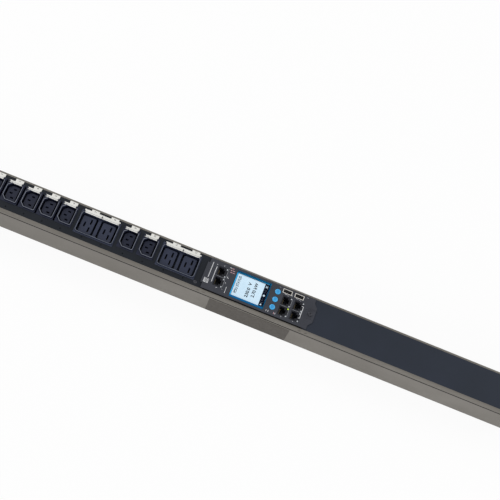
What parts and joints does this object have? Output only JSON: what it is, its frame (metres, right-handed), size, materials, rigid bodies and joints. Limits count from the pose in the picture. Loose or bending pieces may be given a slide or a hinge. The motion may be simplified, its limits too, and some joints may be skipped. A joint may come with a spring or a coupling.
{
  "type": "rack power distribution unit",
  "caption": "Vertical rack power distribution unit: a long channel with recessed outlets, a display controller with push buttons and network jacks, and a cord gland at one end.",
  "frame": {"origin": "middle of the flat back, where it rests on the rack's mounting panel", "axes": "+X along the unit towards its cord gland, +Y across it towards the outlet markers, +Z out of the outlet face"},
  "size_m": [0.9306, 0.0613, 0.058],
  "materials": {
    "body_paint": "satin powder coat on extruded aluminium",
    "cover_paint": "satin black powder coat",
    "screw_steel": "plated steel",
    "outlet_plastic": "moulded glass-filled nylon",
    "marker_plastic": "white moulded",
    "busbar_metal": "tinned where it clamps",
    "insulator_plastic": "moulded",
    "circuit_board": "glass-epoxy laminate",
    "controller_plastic": "moulded, fine spark texture",
    "display_layer": "lit panel",
    "display_glass": "polished",
    "button_plastic": "translucent blue",
    "jack_plastic": "moulded",
    "socket_steel": "nickel plated",
    "gland_plastic": "moulded nylon",
    "seal_rubber": "matt",
    "label_film": "satin film"
  },
  "bodies": {
    "unit": {"body_channel": "body_paint", "end_cap_top": "body_paint", "end_cap_bottom": "body_paint", "outlet_cover": "cover_paint", "plain_cover": "cover_paint", "mounting_inserts": "screw_steel", "cover_screws": "screw_steel", "end_cap_screws": "screw_steel", "controller_screw": "screw_steel", "c13_outlet_1": "outlet_plastic", "c13_outlet_2": "outlet_plastic", "c13_outlet_3": "outlet_plastic", "c13_outlet_4": "outlet_plastic", "c13_outlet_5": "outlet_plastic", "c13_outlet_6": "outlet_plastic", "c13_outlet_7": "outlet_plastic", "c13_outlet_8": "outlet_plastic", "c19_twin_outlet_1": "outlet_plastic", "c19_twin_outlet_2": "outlet_plastic", "c13_marker_1": "marker_plastic", "c13_marker_2": "marker_plastic", "c13_marker_3": "marker_plastic", "c13_marker_4": "marker_plastic", "c13_marker_5": "marker_plastic", "c13_marker_6": "marker_plastic", "c13_marker_7": "marker_plastic", "c13_marker_8": "marker_plastic", "c19_marker_1": "marker_plastic", "c19_marker_2": "marker_plastic", "line_busbar": "busbar_metal", "neutral_busbar": "busbar_metal", "earth_busbar": "busbar_metal", "outlet_contacts": "busbar_metal", "busbar_carrier": "insulator_plastic", "terminal_block": "insulator_plastic", "current_sensor": "insulator_plastic", "power_supply": "circuit_board", "controller_board": "circuit_board", "display_board": "circuit_board", "controller_plate": "controller_plastic", "controller_housing": "controller_plastic", "display_panel": "display_layer", "display_window": "display_glass", "network_jack_1": "jack_plastic", "network_jack_2": "jack_plastic", "network_jack_3": "jack_plastic", "network_jack_4": "jack_plastic", "network_jack_5": "jack_plastic", "network_jack_6": "jack_plastic", "usb_socket_1": "socket_steel", "usb_socket_2": "socket_steel", "gland_body": "gland_plastic", "gland_nut": "gland_plastic", "gland_locknut": "gland_plastic", "gland_seal": "seal_rubber", "rating_label": "label_film"},
    "push_button_1": {"button_1": "button_plastic"},
    "push_button_2": {"button_2": "button_plastic"},
    "push_button_3": {"button_3": "button_plastic"}
  },
  "joints": [
    {"name": "button_1_press", "type": "slide", "parent": "unit", "child": "push_button_1", "axis": [0, 0, -1], "range_m": [0, 0.0006], "stiffness_N_per_m": 800, "springref_m": -0.0006},
    {"name": "button_2_press", "type": "slide", "parent": "unit", "child": "push_button_2", "axis": [0, 0, -1], "range_m": [0, 0.0006], "stiffness_N_per_m": 800, "springref_m": -0.0006},
    {"name": "button_3_press", "type": "slide", "parent": "unit", "child": "push_button_3", "axis": [0, 0, -1], "range_m": [0, 0.0006], "stiffness_N_per_m": 800, "springref_m": -0.0006}
  ]
}
